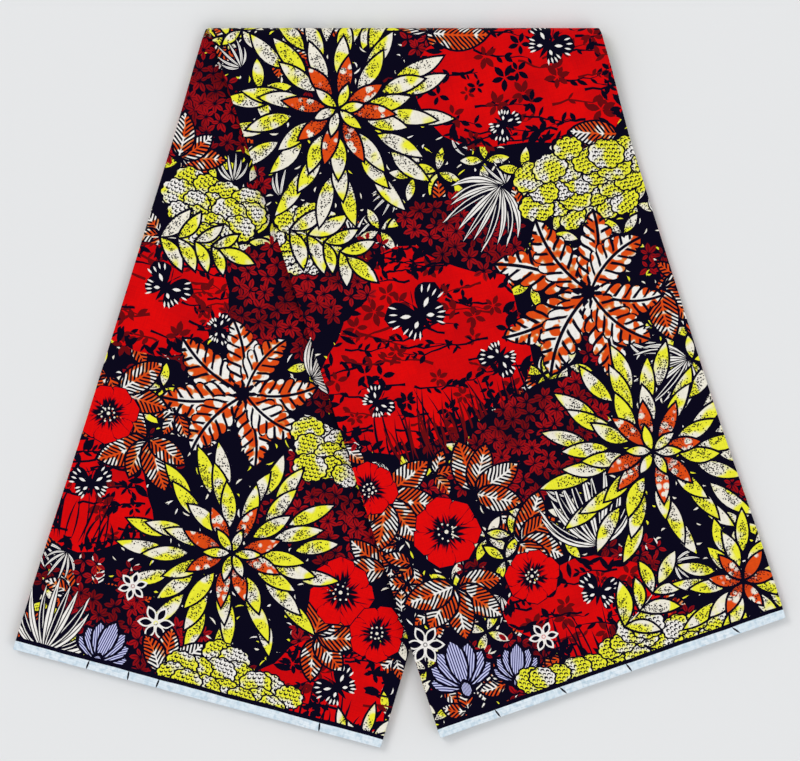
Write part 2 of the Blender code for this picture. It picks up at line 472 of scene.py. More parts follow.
def butterfly(sheet, centre, size, angle):
    """Dark, with white marks along its wings."""
    wings = ((1.05, 0.62, 0.22), (2.15, 0.44, 0.19))
    for side in (-1, 1):
        for spread, long, half in wings:
            tilt = angle + side * spread
            bow = -side * 0.05 * size
            wing = dict(steps=8, blunt=0.7, lean=1.6)
            stroke(sheet, centre, tilt, size * long, size * half, "navy", bow, **wing)
            for k in range(4):
                mark = tilt + (k - 1.5) * 0.24
                at = away(centre, mark, size * long * (0.62 + 0.05 * (k % 2)))
                stroke(sheet, at, mark, size * 0.15, 0.8, "white", steps=3)
            at = away(centre, tilt, size * long * 0.25)
            stroke(sheet, at, tilt, size * long * 0.30, size * 0.035, "white")
    tail = away(centre, angle + pi, size * 0.34)
    stroke(sheet, tail, angle, size * 0.58, size * 0.055, "navy", steps=5)
    head = away(centre, angle, size * 0.2)
    for side in (-1, 1):
        stroke(sheet, head, angle + side * 0.45, size * 0.28, 0.5, "navy", steps=3)


def twig(sheet, base, angle, length, ink):
    """A thin, wavering branch with small leaves."""
    dice = sheet.dice
    points = [base]
    steps, thick = 7, 2.3
    for k in range(steps):
        points.append(away(points[-1], angle + dice.uniform(-0.36, 0.36), length / steps))
    wide = [thick * (1 - 0.75 * k / steps) * dice.uniform(0.75, 1.25) for k in range(steps + 1)]
    line(sheet, points, wide, ink)
    for _ in range(5):
        at = dice.choice(points[2:])
        tilt = angle + dice.choice((-1, 1)) * dice.uniform(0.3, 1.2)
        long = dice.uniform(5, 11)
        stroke(sheet, at, tilt, long, long * dice.uniform(0.14, 0.26), ink)


def reed_bed(sheet, base, width, height, angle, count, ink):
    """Thin blades that rise from a line."""
    dice = sheet.dice
    for k in range(count):
        at = away(base, angle - pi / 2, width * ((k + dice.random()) / count - 0.5))
        tilt = angle + dice.uniform(-0.22, 0.22)
        long = height * dice.uniform(0.55, 1.1)
        stroke(sheet, at, tilt, long, dice.uniform(0.6, 1.2), ink, dice.uniform(-4, 4), 5)


def tuft(sheet, place, long, ink, count=None):
    """A few small leaves round one place."""
    dice = sheet.dice
    start = dice.uniform(0, 2 * pi)
    for spoke in around(count or dice.choice((4, 5, 6)), start):
        angle = spoke + dice.uniform(-0.25, 0.25)
        size = long * dice.uniform(0.8, 1.2)
        stroke(sheet, away(place, angle, 1.0), angle, size, size * 0.24, ink, blunt=0.8)


THICKET_PITCH, THICKET_LEAF = 14.28, 7.82


def thicket(sheet, middle, across, along, turn):
    """Small dark red leaves, in tufts, on the dark ground."""
    dice = sheet.dice
    outline = blob(middle, across, along, dice, turn)
    sheet.add(outline, "navy")
    fringe(sheet, outline, "navy", 9)
    for place in scattered(outline, THICKET_PITCH, dice, 0.3):
        tuft(sheet, place, THICKET_LEAF, "thicket", dice.choice((5, 6, 6, 7)))


def scale_cloud(sheet, centre, across, along, size):
    """Rounded scales with a bumpy edge, which overlap like roof tiles."""
    dice = sheet.dice
    places = scattered(blob(centre, across, along, dice, wander=0.12), size * 1.28, dice, 0.2)
    for place in sorted(places, key=lambda place: -place[1]):
        reach = size * dice.uniform(0.8, 1.2)
        corners = 3 * dice.choice((8, 9, 10))
        lean = dice.uniform(-0.5, 0.5)
        for grow, ink in ((1.6, "navy"), (0.0, "scale")):
            points = []
            for k, each in enumerate(around(corners)):
                far = reach * (1.0 if k % 3 else 0.89) + grow
                points.append((far * 1.08 * cos(each), far * 0.86 * sin(each)))
            sheet.add(turned(np.array(points), place, lean), ink, place, lean, reach, reach)


def outermost_first(count):
    """The numbers of a fan's blades, each with where it stands, from -1 to 1."""
    order = sorted(range(count), key=lambda k: -abs(k - (count - 1) / 2))
    return [(k, (k / (count - 1) - 0.5) * 2) for k in order]


def plume(sheet, base, angle, count, length, spread=0.9):
    """A fan of narrow blades that bend outwards, some of them only in outline."""
    dice = sheet.dice
    form = dict(steps=7, lean=0.9)
    for k, share in outermost_first(count):
        tilt = angle + share * spread + dice.uniform(-0.05, 0.05)
        long = length * (1 - 0.25 * abs(share)) * dice.uniform(0.85, 1.1)
        half = dice.uniform(0.030, 0.042) * length
        bow = share * 0.14 * long
        if k % 2:
            leaf(sheet, base, tilt, long, half, "white", bow, edge=1.2, **form)
            inner = away(base, tilt, 0.07 * long)
            stroke(sheet, inner, tilt, long * 0.86, half - 0.8, "navy", bow, **form)
        else:
            leaf(sheet, base, tilt, long, half, "blade", bow, edge=1.2, **form)


def lotus(sheet, base, angle, size):
    """Ribbed petals over a round seed head."""
    for _, share in outermost_first(7):
        long = size * (1 - 0.28 * abs(share))
        petal = dict(bow=-share * 0.05 * long, blunt=0.8, lean=1.25)
        leaf(sheet, base, angle + share * 1.15, long, size * 0.19, "lavender", **petal)
    below = away(base, angle + pi, size * 0.22)
    leaf(sheet, below, angle, size * 0.3, size * 0.1, "lavender", blunt=0.6)


def star(sheet, centre, radius, turn):
    """A flower in white outline on the dark ground."""
    points, half = 6, radius * 0.25
    for angle in around(points, turn):
        outer, inner = away(centre, angle, 1.5), away(centre, angle, 3.2)
        stroke(sheet, outer, angle, radius - 1.5, half, "white", steps=6)
        stroke(sheet, inner, angle, radius - 5.4, half - 1.3, "navy", steps=6)
    for angle in around(points, turn, 0.5):
        stroke(sheet, away(centre, angle, 1.0), angle, radius * 0.42, 0.9, "white", steps=3)
    disc(sheet, centre, 1.2, "white")


def filler(sheet, outline, pitch):
    """Short strokes on the dark ground."""
    dice = sheet.dice
    for place in scattered(outline, pitch, dice):
        ink = dice.choice(("white", "pale", "pale", "yellow_dash"))
        long = dice.uniform(3, 9)
        tilt = dice.uniform(0, 2 * pi)
        half = dice.uniform(0.5, 0.9)
        stroke(sheet, place, tilt, long, half, ink, dice.uniform(-1, 1), 3)


FIELD_PITCH, THIN_FIELD_PITCH = 19.0, 19.0 * 1.7


def red_field(sheet, outline, slope, thin):
    """Bright red with dark, slanting twigs and small dark plants."""
    dice = sheet.dice
    sheet.add(outline, "red")
    for place in scattered(outline, THIN_FIELD_PITCH if thin else FIELD_PITCH, dice):
        if dice.random() < 0.66:
            tilt = slope + dice.choice((0, pi)) + dice.uniform(-0.2, 0.2)
            long = dice.uniform(22, 50)
            twig(sheet, place, tilt, long, dice.choice(("navy", "navy", "dark_red")))
        else:
            tuft(sheet, place, dice.uniform(6, 11), "dark_red" if dice.random() < 0.5 else "navy")


def ribbed_fan(sheet, place, angle, count, length, spread):
    """A few ribbed leaves side by side."""
    dice = sheet.dice
    for k in range(count):
        tilt = angle + (k / max(count - 1, 1) - 0.5) * spread + dice.uniform(-0.1, 0.1)
        long = length * dice.uniform(0.8, 1.1)
        half = long * dice.uniform(0.24, 0.31)
        form = dict(bow=dice.uniform(-0.07, 0.07) * long, blunt=0.8, lean=0.85, steps=9)
        leaf(sheet, away(place, tilt, 3), tilt, long, half, "orange_rib", edge=1.7, **form)


def undergrowth(sheet, outline, pitch, covers):
    """Small plants on the dark ground, wherever the large motifs leave it bare."""
    dice = sheet.dice
    for place in scattered(outline, pitch, dice, 0.3):
        hidden = any(
            ((place[0] - x) / across) ** 2 + ((place[1] - y) / along) ** 2 < 1
            for x, y, across, along in covers
        )
        kind = dice.random()
        tilt = dice.uniform(0, 2 * pi)
        if hidden:
            continue
        if kind < 0.30:
            ribbed_fan(sheet, place, tilt, 3, pitch * 0.75, 2.1)
        elif kind < 0.62:
            for k in range(4):
                turn = tilt + k * 1.5
                at = away(place, turn, 2)
                leaf(sheet, at, turn, pitch * 0.7, pitch * 0.13, "yellow_leaf")
        elif kind < 0.76:
            plume(sheet, place, tilt, 6, pitch * 0.95, 0.8)
        else:
            for k in range(4):
                tuft(sheet, away(place, tilt + 1.6 * k, pitch * 0.3), 7.5, "thicket")


# Selvedges

DARK_LINE = 3.6 * MM  # printed beside the bare selvedge
HEM_BEYOND = 4 * MM  # how far its shapes reach past the cloth's end
TICK_PLACES = 100
TICK_LENGTH, TICK_HALF = 9.6, 0.8


def hem_curve(first, inset, wave, phase, count=48):
    """Places across the strip, on the plan, a distance inwards from its first end, at
    the front leg, or its last."""
    k, inner = (0, 1) if first else (-1, -2)
    points = []
    for i in range(count + 1):
        s = i / count
        end = LEFT_EDGE[k] * (1 - s) + RIGHT_EDGE[k] * s
        before = LEFT_EDGE[inner] * (1 - s) + RIGHT_EDGE[inner] * s
        run = unit(before - end)
        ripple = wave * (sin(9 * s * pi + phase) + 0.6 * sin(23 * s * pi + 2 * phase))
        points.append(end + run * (inset + ripple))
    return np.array(points)


def hem_bands(sheet, first, ticks):
    """The dark line, the bare selvedge and its tick marks at one end of the strip."""
    outside = hem_curve(first, -HEM_BEYOND, 0, 0, 2)
    outside = outside + (outside - outside.mean(axis=0)) * 0.05
    for inset, wave, phase, ink in (
        (SELVEDGE + DARK_LINE, 0.25 * MM, 1.3, "navy"),
        (SELVEDGE, 0.16 * MM, 0.4, "selvedge"),
    ):
        curve = hem_curve(first, inset, wave, phase)
        curve[0] += (curve[0] - curve[1]) * 0.4
        curve[-1] += (curve[-1] - curve[-2]) * 0.4
        ring = to_cloth(np.concatenate([curve, outside[::-1]])) / MM
        sheet.add(ring, ink, ring[0], -0.02, 300.0, 10.0)
    middle = hem_curve(first, SELVEDGE * 0.5, 0, 0, TICK_PLACES)
    for share, tilt in ticks:
        place = to_cloth(middle[int(share * TICK_PLACES)]) / MM
        at = away(place, tilt + pi, TICK_LENGTH / 2)
        stroke(sheet, at, tilt, TICK_LENGTH, TICK_HALF, "navy", blunt=0.3, steps=3)


def hem_distance(plan):
    """How far places on the plan lie from the nearer selvedge."""
    distances = []
    for start, end in ((LEFT_EDGE[0], RIGHT_EDGE[0]), (RIGHT_EDGE[-1], LEFT_EDGE[-1])):
        run = unit(end - start)
        off = plan - start
        distances.append(off[:, 0] * run[1] - off[:, 1] * run[0])
    return np.minimum(*distances)


# A print as triangles: the plan is cut along every outline that shows

OUTSIDE = -2
UNKNOWN = -3
MOST_PLACES = 4000000
MERGED = 1e-6  # places nearer to each other than this become one
ALL_TRIANGLES = 0
ROW_BEYOND = 0.05


def polyline_points(edge, pitch):
    """A polyline's corners and points between them, about a pitch apart."""
    points = []
    for start, end in zip(edge, edge[1:]):
        count = max(1, round(np.linalg.norm(end - start) / pitch))
        points += [start + (end - start) * k / count for k in range(count)]
    return points + [edge[-1]]


def moved_left(edge, distance):
    """The edge moved to the strip's left."""
    run = units(np.gradient(edge, axis=0))
    return edge + columns(run[:, 1], -run[:, 0]) * distance


def domain_ring(left_inset, right_inset):
    """The outline of the cloth's flat part on the plan, with what each point is on."""
    left, right = moved_left(LEFT_EDGE, -left_inset), moved_left(RIGHT_EDGE, right_inset)
    ring, labels = [], []
    for edge, label in (
        (left, "left"),
        (np.array([left[-1], right[-1]]), "back"),
        (right[::-1], "right"),
        (np.array([right[0], left[0]]), "front"),
    ):
        points = polyline_points(edge, GRID)
        ring += points[:-1]
        labels += [label] * (len(points) - 1)
    return np.array(ring), labels


def grid_points(ring, pitch):
    """Staggered places inside the outline, clear of the crosswise fold's rows."""
    low, high = ring.min(axis=0), ring.max(axis=0)
    rows = np.arange(low[1], high[1], pitch)
    x, q = np.meshgrid(np.arange(low[0], high[0], pitch), rows)
    x = x + 0.5 * pitch * (np.arange(len(rows)) % 2)[:, None]
    points = columns(x.ravel(), q.ravel())
    points = points[np.abs(points[:, 1]) > QUARTER_TURN + pitch / 3]
    return points[within(points, ring)]


def edge_codes(start, end):
    """One number for each directed edge."""
    return start.astype(np.int64) * MOST_PLACES + end


def edge_table(triangles):
    """Each triangle's three directed edges: start, end and the triangle across it, or
    -1 at the rim."""
    start, end = triangles.ravel(), np.roll(triangles, -1, axis=1).ravel()
    code = edge_codes(start, end)
    order = np.argsort(code)
    at = np.searchsorted(code, edge_codes(end, start), sorter=order) % len(code)
    found = code[order[at]] == edge_codes(end, start)
    return start, end, np.where(found, order[at] // 3, -1)


def facing_up(places, triangles):
    """The triangles, each with its corners anticlockwise."""
    a, b, c = (places[triangles[:, k]] for k in range(3))
    turning = (b[:, 0] - a[:, 0]) * (c[:, 1] - a[:, 1]) - (b[:, 1] - a[:, 1]) * (c[:, 0] - a[:, 0])
    triangles[turning < 0] = triangles[turning < 0][:, ::-1]
    return triangles


def spread_areas(triangles, codes, beside):
    """What area each triangle is in: beside says it for the directed edges in codes, and
    it spreads over every other edge."""
    order = np.argsort(codes)
    start, end, across = edge_table(triangles)
    mine = np.repeat(np.arange(len(triangles)), 3)
    code = edge_codes(start, end)
    at = order[np.searchsorted(codes, code, sorter=order) % len(codes)]
    fence = codes[at] == code
    areas = np.full(len(triangles), UNKNOWN)
    areas[mine[fence]] = beside[at[fence]]
    open_edges = np.flatnonzero(~fence & (across >= 0))
    here, there = mine[open_edges], across[open_edges]
    while True:
        fill = (areas[here] == UNKNOWN) & (areas[there] != UNKNOWN)
        if not fill.any():
            return areas
        areas[here[fill]] = areas[there[fill]]
        rest = areas[here] == UNKNOWN
        here, there = here[rest], there[rest]


def cut_up(places, edges, left, right, fences):
    """Cuts the plane along the edges. left and right say what area lies beside each of
    the first ones, as many as fences says. Returns the places, the triangles and their
    areas, without what lies OUTSIDE."""
    cut = delaunay_2d_cdt([Vector(p) for p in places], edges, [], ALL_TRIANGLES, MERGED, True)
    points = np.array([tuple(v) for v in cut[0]])
    triangles = facing_up(points, np.array(cut[2]))

    pairs, sources = [], []
    for pair, ids in zip(cut[1], cut[4]):
        bounding = [each for each in ids if each < fences]
        if bounding:
            pairs.append(pair)
            sources.append(bounding[0])
    pairs, sources = np.array(pairs), np.array(sources)
    given = np.array(places)[np.array(edges)[sources]]
    run = points[pairs[:, 1]] - points[pairs[:, 0]]
    same = ((given[:, 1] - given[:, 0]) * run).sum(axis=1) > 0
    left, right = np.asarray(left)[sources], np.asarray(right)[sources]
    codes = np.concatenate([edge_codes(*pairs.T), edge_codes(*pairs[:, ::-1].T)])
    beside = np.concatenate([np.where(same, left, right), np.where(same, right, left)])

    areas = spread_areas(triangles, codes, beside)
    wanted = (areas != OUTSIDE) & (areas != UNKNOWN)
    triangles, areas = triangles[wanted], areas[wanted]
    used, renumbered = np.unique(triangles, return_inverse=True)
    return points[used], renumbered.reshape(-1, 3), areas


def topmost(middles, outlines):
    """The number of the last outline round each of the points, or -1."""
    order = np.argsort(middles[:, 0])
    ranked = middles[order]
    tops = np.full(len(middles), -1)
    for number, outline in enumerate(outlines):
        low, high = outline.min(axis=0), outline.max(axis=0)
        first, last = np.searchsorted(ranked[:, 0], (low[0], high[0]))
        near = ranked[first:last]
        chosen = np.flatnonzero((near[:, 1] > low[1]) & (near[:, 1] < high[1]))
        if len(chosen):
            hit = chosen[within(near[chosen], outline)]
            tops[order[first + hit]] = number
    return tops


def cut_by_outlines(ring, outlines, rows):
    """Cuts the ring along every outline, and along the fold's rows, which run a little
    past the cloth on both sides."""
    places, edges = [], []
    for outline in [ring] + outlines:
        start, count = len(places), len(outline)
        places += outline.tolist()
        edges += [(start + k, start + (k + 1) % count) for k in range(count)]
    for q in rows:
        edges.append((len(places), len(places) + 1))
        places += [(-ROW_BEYOND, q), (FOLD_LENGTH + ROW_BEYOND, q)]
    inside, outside = np.zeros(len(edges), int), np.full(len(edges), OUTSIDE)
    return cut_up(places, edges, inside, outside, len(ring))[:2]


def plane_map(ring, shapes, loose):
    """Cuts the ring along all the outlines that show, with loose places between them.
    Returns the places, the triangles and for each of them the topmost shape's number,
    or -1 where only the ring is."""
    outlines = [to_plan(shape["points"]) for shape in shapes]
    rows = [QUARTER_TURN * k / BEND_ROWS for k in range(-BEND_ROWS, BEND_ROWS + 1)]
    points, triangles = cut_by_outlines(ring, outlines, rows)
    tops = topmost(points[triangles].mean(axis=1), outlines)

    # the second cut keeps only the lines where the colour changes and the fold's rows
    plain = {ink: -1 - k for k, ink in enumerate(PLAIN_INKS)}
    keys = [plain.get(shape["ink"], k) for k, shape in enumerate(shapes)] + [plain["navy"]]
    keys = np.array(keys)[tops]
    start, end, across = edge_table(triangles)
    mine = np.repeat(np.arange(len(triangles)), 3)
    on_row = np.zeros(len(points), int)
    for number, row in enumerate(rows):
        on_row[np.abs(points[:, 1] - row) < MERGED] = number + 1
    along_row = (on_row[start] > 0) & (on_row[start] == on_row[end])
    changes = (across < 0) | (keys[mine] != keys[across]) | along_row
    kept = changes & ((start < end) | (across < 0))
    start, end, across, mine = start[kept], end[kept], across[kept], mine[kept]
    used, renumbered = np.unique(np.concatenate([start, end]), return_inverse=True)
    edges = columns(*np.split(renumbered, 2)).tolist()
    places = np.concatenate([points[used], loose.reshape(-1, 2)]).tolist()
    right = np.where(across < 0, OUTSIDE, tops[across])
    return cut_up(places, edges, tops[mine], right, len(edges))


def boundary_loop(triangles):
    """The outline's corners in order, and the triangle at each of its edges."""
    start, end, across = edge_table(triangles)
    rim = np.flatnonzero(across < 0)
    following = dict(zip(start[rim].tolist(), end[rim].tolist()))
    beside = dict(zip(start[rim].tolist(), (rim // 3).tolist()))
    loop = [min(following)]
    while following[loop[-1]] != loop[0] and len(loop) <= len(rim):
        loop.append(following[loop[-1]])
    if len(loop) != len(rim):
        raise RuntimeError("the print's outline isn't one loop")
    return loop, [beside[each] for each in loop]


# A ply as a thin shell


def rim_profile(folded):
    """The ply's edge: how far out and how deep each ring lies, from the face to the
    back. A folded edge turns under and runs back a little way."""
    if not folded:
        turns = [pi * (k + 1) / (RIM_RINGS + 1) for k in range(RIM_RINGS)]
        return [(PLY / 2 * sin(turn), PLY / 2 * (1 - cos(turn))) for turn in turns]
    outer, inner = FOLD_RADIUS, FOLD_RADIUS - PLY * 0.85
    half = RIM_RINGS // 2
    turns = [pi * k / (half - 1) for k in range(1, half)]
    profile = [(outer * sin(turn), outer - outer * cos(turn)) for turn in turns]
    profile += [(-UNDERLAP, 2 * outer), (-UNDERLAP, outer + inner)]
    turns = [pi * (1 - k / half) for k in range(1, half)]
    return profile + [(inner * sin(turn), outer - inner * cos(turn)) for turn in turns]


def crease_relief(points, creases):
    """How far soft troughs lower the cloth: (a, b) to (a, b), half width, depth in mm."""
    lowered = np.zeros(len(points))
    for a0, b0, a1, b1, half, depth in creases:
        start = np.array([a0, b0]) * MM
        run = np.array([a1 - a0, b1 - b0]) * MM
        along = ((points - start) @ run) / (run @ run)
        off = (points - start - np.clip(along, 0, 1)[:, None] * run) / MM
        near = np.exp(-((off**2).sum(axis=1)) / half**2)
        ends = smooth_step(along * 3 + 0.4) * smooth_step((1 - along) * 3 + 0.4)
        lowered += depth * MM * near * ends
    return lowered


def lay_ply(points, depth, outwards, creases):
    """Places of a ply, folded up, with its creases."""
    lowered = crease_relief(to_cloth(points), creases)
    lowered *= smooth_step((np.abs(points[:, 1]) - QUARTER_TURN) / (20 * MM))
    return fold_up(points[:, 0], points[:, 1], depth + outwards * lowered)


def edge_directions(edge, ring, labels):
    """Which side of the strip each point of the outline is on, and the direction
    straight off that side."""
    run = np.roll(ring, -1, axis=0) - ring
    sides = []
    for point in edge:
        along = np.clip(((point - ring) * run).sum(axis=1) / (run**2).sum(axis=1), 0, 1)
        off = point - (ring + along[:, None] * run)
        sides.append(labels[int(np.argmin((off**2).sum(axis=1)))])
    length, hem = LEFT_EDGE[0] - LEFT_EDGE[-1], RIGHT_EDGE[0] - LEFT_EDGE[0]
    off_left = unit(np.array([-length[1], length[0]]))
    off_front = unit(np.array([-hem[1], hem[0]]))
    directions = dict(left=off_left, right=-off_left, front=off_front, back=-off_front)
    return sides, np.array([directions[side] for side in sides])


def rim_strips(rows):
    """Triangles that join each loop of places to the next."""
    strips = []
    for upper, lower in zip(rows, rows[1:]):
        there, down_there = np.roll(upper, -1), np.roll(lower, -1)
        strips += [columns(there, upper, lower), columns(there, lower, down_there)]
    return strips


def plain_back(edge):
    """The cloth behind the print, inside the same outline, with the outline's corners
    from the same first one."""
    back, triangles, _ = plane_map(edge, [], grid_points(edge, 2 * GRID))
    loop, _ = boundary_loop(triangles)
    first = int(np.argmin(((back[loop] - edge[0]) ** 2).sum(axis=1)))
    return back, triangles, loop[first:] + loop[:first]


def build_ply(name, sheet, face_depth, outwards, folded, creases, inks):
    """One printed ply. outwards is 1 where the print faces away from the crosswise
    fold's inside, and -1 where it faces into it. folded is the side that is a fold: the
    other three are cut edges or selvedges."""
    insets = [FOLD_RADIUS if side == folded else CUT_INSET for side in ("left", "right")]
    ring, labels = domain_ring(*insets)
    face, face_triangles, tops = plane_map(ring, sheet.shapes, grid_points(ring, GRID))
    loop, beside = boundary_loop(face_triangles)
    edge = face[loop]
    back, back_triangles, back_loop = plain_back(edge)
    sides, directions = edge_directions(edge, ring, labels)
    profile = np.array([rim_profile(side == folded) for side in sides])
    layers = [(face, face_depth), (back, face_depth + outwards * PLY)]
    for k in range(RIM_RINGS):
        moved = edge + directions * profile[:, k, :1]
        layers.append((moved, face_depth + outwards * profile[:, k, 1]))
    places = np.concatenate([lay_ply(*layer, outwards, creases) for layer in layers])

    back_start = len(face)
    ring_start = back_start + len(back)
    rings = [ring_start + k * len(loop) + np.arange(len(loop)) for k in range(RIM_RINGS)]
    rows = [np.array(loop)] + rings + [back_start + np.array(back_loop)]
    triangles = [face_triangles, back_triangles[:, ::-1] + back_start] + rim_strips(rows)
    triangles = np.concatenate(triangles)
    if outwards > 0:
        triangles = triangles[:, ::-1]
    printed, plain = len(face_triangles), len(back_triangles)
    behind = np.zeros(len(triangles), bool)
    behind[printed : printed + plain] = True
    shown = np.full(len(triangles), -1)
    shown[:printed] = tops
    shown[printed + plain :] = np.tile(tops[beside], 2 * (RIM_RINGS + 1))

    mesh = bpy.data.meshes.new(name)
    mesh.from_pydata(places.tolist(), [], triangles.tolist())
    mesh.shade_smooth()
    drawn = np.concatenate([face, back] + [edge] * RIM_RINGS)
    print_on(mesh, sheet, inks, drawn[triangles.ravel()], shown, behind)
    spread = [edge + directions * MAP_STEP * (k + 1) for k in range(RIM_RINGS)]
    bake_map(mesh, np.concatenate([face, back] + spread), triangles, behind)
    return linked(name, mesh)


def linked(name, mesh):
    mesh.update()
    piece = bpy.data.objects.new(name, mesh)
    bpy.context.scene.collection.objects.link(piece)
    return piece


def add_vectors(mesh, label, values):
    layer = mesh.attributes.new(label, "FLOAT_VECTOR", "CORNER")
    layer.data.foreach_set("vector", values.astype(np.float32).ravel())


def add_map(mesh, label, values):
    layer = mesh.uv_layers.new(name=label)
    layer.data.foreach_set("uv", values.astype(np.float32).ravel())


# what bare cloth tells its ink: origin, direction, length, half width, bow and seed
BARE_FACTS = (0, 0, 1, 0, 0.1, 0.1, 0, 0.5)


def print_on(mesh, sheet, inks, corners, shown, behind):
    """Gives each triangle the ink of the shape it shows, and each of its corners the
    place in the cloth and in the shape. The cloth behind the print wears the folds' ink,
    which asks for the distance from the selvedge."""
    names = sorted({shape["ink"] for shape in sheet.shapes} | {"navy", "folds"})
    for ink in names:
        mesh.materials.append(inks[ink])
    number = {ink: k for k, ink in enumerate(names)}
    shape_ink = [number[shape["ink"]] for shape in sheet.shapes] + [number["navy"]]
    slots = np.where(behind, number["folds"], np.array(shape_ink)[shown])
    mesh.polygons.foreach_set("material_index", slots.astype(np.int32))

    at = to_cloth(corners)
    add_map(mesh, "cloth", at)
    facts = np.array([shape["facts"] for shape in sheet.shapes] + [BARE_FACTS])
    origin_a, origin_b, c, s, length, half, bow, seed = facts[np.repeat(shown, 3)].T
    a, b = at[:, 0] - origin_a, at[:, 1] - origin_b
    u, v = (a * c + b * s) / length, (b * c - a * s) / half
    u = np.where(np.repeat(behind, 3), hem_distance(corners), u)
    add_vectors(mesh, "local", columns(u, v, seed))
    add_vectors(mesh, "form", columns(bow, length, half))


# The map for baking: the two printed halves side by side, and the plain back in a
# narrow strip along the top
MAP_STEP = 0.3 * MM
MAP_MARGIN = 4 * MM
MAP_WIDTH = (WIDTH + 10) * MM + 2 * MAP_MARGIN
MAP_LENGTH = 0.701
MAP_BACK_END = -0.56
STRIP_START, STRIP_HEIGHT = 0.975, 0.073
STRIP_FROM, STRIP_LENGTH = -0.57, 1.23


def bake_map(mesh, places, triangles, behind):
    """The map that the baked textures use."""
    front = np.repeat(places[:, 1][triangles].mean(axis=1) > 0, 3)
    behind = np.repeat(behind, 3)
    a, b = to_cloth(places)[triangles.ravel()].T
    u = ((a + MAP_MARGIN) / MAP_WIDTH + np.where(front, 0, 1)) / 2
    v = (b - np.where(front, 0, MAP_BACK_END) + MAP_MARGIN) / MAP_LENGTH
    u = np.where(behind, (b - STRIP_FROM) / STRIP_LENGTH, u)
    v = np.where(behind, STRIP_START + a * STRIP_HEIGHT, v)
    add_map(mesh, "OFBake", columns(u, v))


# The hidden folds

HIDDEN_PLIES = 15
PITCH = HIDDEN / HIDDEN_PLIES
HIDDEN_PLY = 0.19 * MM
COLUMNS = 14  # faces across a ply
ARC = 4  # faces round a side fold
STATION_PITCH = 13 * MM  # along the strip
FREE_EDGE = 5.0 * MM  # how far the sheet's own two edges stop short of the outer ply's


def strip_stations():
    """Places along the strip, from the front leg's selvedge to the back leg's: left
    edge, right edge and how far along, on the unfolded plan."""
    spans = lengths(np.diff(LEFT_EDGE, axis=0))
    last = len(spans)
    cuts = [last]
    for k, span in enumerate(spans):
        bent = abs(LEFT_EDGE[k : k + 2, 1]).min() < QUARTER_TURN / 2
        count = BEND_ROWS if bent else max(1, round(span / STATION_PITCH))
        cuts += [k + i / count for i in range(count)]
    # three more near each selvedge
    for share in (0.5, 1.0, 1.45):
        cuts += [share * SELVEDGE / spans[0], last - share * SELVEDGE / spans[-1]]
    cuts = sorted(set(cuts))
    left, right = (
        columns(*(np.interp(cuts, range(len(edge)), values) for values in edge.T))
        for edge in (LEFT_EDGE, RIGHT_EDGE)
    )
    run = lengths(np.diff((left + right) / 2, axis=0))
    return left, right, np.concatenate([[0], np.cumsum(run)])


def fold_insets(along, dice):
    """How far each side fold stops short of the outer ply's edge, all along it."""
    insets = []
    turn = 2 * pi * along / along[-1]
    for fold in range(HIDDEN_PLIES + 1):
        slow, slow_phase = dice.uniform(3, 6), dice.uniform(0, 6.3)
        fast, fast_phase = dice.uniform(9, 15), dice.uniform(0, 6.3)
        ripple = 0.28 * np.sin(slow * turn + slow_phase) + 0.14 * np.sin(fast * turn + fast_phase)
        depth = 0.9 + 0.5 * sin(2.4 * fold + 1.0)
        insets.append((depth + ripple) * MM + PITCH / 2)
    insets[0] = insets[-1] = np.full(len(along), FREE_EDGE)
    return insets


def folded_section(width, along):
    """The section of the sheet, up its one face and down the other: how far each corner
    lies across the strip at each station, its depth, and its ply."""
    insets = fold_insets(along, Random(FOLDS_SEED))
    upper, lower = [], []
    for ply in range(HIDDEN_PLIES):
        depth = WALL + CLEARANCE + (ply + 0.5) * PITCH
        out = 1 if ply % 2 == 0 else -1
        near, far = insets[ply], width - insets[ply + 1]
        if out < 0:
            near, far = width - near, width - far
        for k in range(COLUMNS + 1):
            at = near + (far - near) * (k / COLUMNS)
            upper.append((at, depth - out * HIDDEN_PLY / 2, ply))
            lower.append((at, depth + out * HIDDEN_PLY / 2, ply))
        if ply == HIDDEN_PLIES - 1:
            break
        for k in range(1, ARC):
            angle = pi * k / ARC
            for corners, side in ((upper, out), (lower, -out)):
                radius = (PITCH + side * HIDDEN_PLY) / 2
                at = far + out * radius * sin(angle)
                corners.append((at, depth + PITCH / 2 - radius * cos(angle), ply + 0.5))
    return upper + lower[::-1]


def section_faces(count, stations):
    """The faces between the section's corners at each station, and its two ends."""
    index = np.arange(count * stations).reshape(count, stations)
    following = np.roll(index, -1, axis=0)
    a, b = index[:, :-1].ravel(), index[:, 1:].ravel()
    c, d = following[:, 1:].ravel(), following[:, :-1].ravel()
    faces = columns(a, b, c, d).tolist()
    for station in (0, stations - 1):
        for k in range(count // 2 - 1):
            quad = index[[k, k + 1, count - 2 - k, count - 1 - k], station].tolist()
            faces.append(quad if station else quad[::-1])
    return faces


